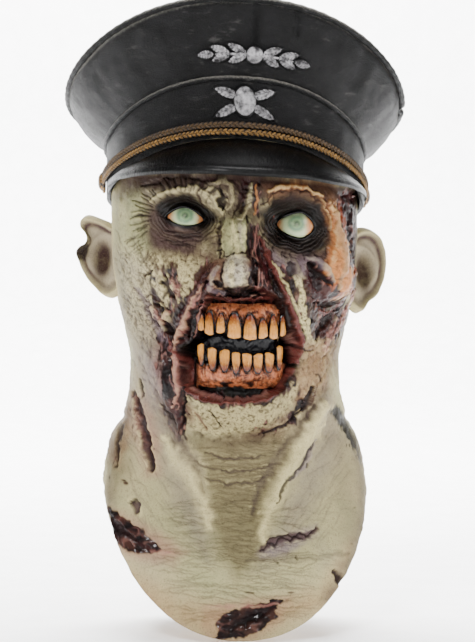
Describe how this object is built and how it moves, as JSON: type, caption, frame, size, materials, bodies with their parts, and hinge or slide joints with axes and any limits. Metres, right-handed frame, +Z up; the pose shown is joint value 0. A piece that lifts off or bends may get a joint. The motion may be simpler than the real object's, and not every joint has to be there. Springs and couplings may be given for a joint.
{
  "type": "zombie mask",
  "caption": "Full-head latex zombie mask with torn snarling mouth, neck and chest flap, and a moulded peaked cap.",
  "frame": {"origin": "inside of the crown's top, where the mask sits on the wearer's head", "axes": "+Z up, the face looks along -Y, +X is on the right seen from in front"},
  "size_m": [0.2618, 0.2834, 0.463],
  "materials": {
    "skin": "painted latex, satin, pale grey-green with wounds",
    "eye": "painted latex under gloss, clouded green-white",
    "gum": "painted latex under gloss, orange-red",
    "tooth": "painted latex under gloss, stained ochre",
    "cap": "painted latex, satin black with grey rubbed edges",
    "visor": "painted latex, semi-gloss black",
    "gold": "painted latex, dull old gold over black",
    "silver": "painted latex, dull metallic silver"
  },
  "bodies": {
    "root": {"skin": "skin", "eye_left": "eye", "eye_right": "eye", "upper_gum": "gum", "lower_gum": "gum", "upper_tooth_1": "tooth", "upper_tooth_2": "tooth", "upper_tooth_3": "tooth", "upper_tooth_4": "tooth", "upper_tooth_5": "tooth", "upper_tooth_6": "tooth", "upper_tooth_7": "tooth", "upper_tooth_8": "tooth", "lower_tooth_1": "tooth", "lower_tooth_2": "tooth", "lower_tooth_3": "tooth", "lower_tooth_4": "tooth", "lower_tooth_5": "tooth", "lower_tooth_6": "tooth", "lower_tooth_7": "tooth", "lower_tooth_8": "tooth", "cap_band": "cap", "cap_crown": "cap", "cap_piping": "cap", "cap_seam_piping": "cap", "cap_visor": "visor", "cap_cord": "gold", "cap_button_left": "gold", "cap_button_right": "gold", "badge_upper": "silver", "badge_lower": "silver"}
  },
  "joints": []
}
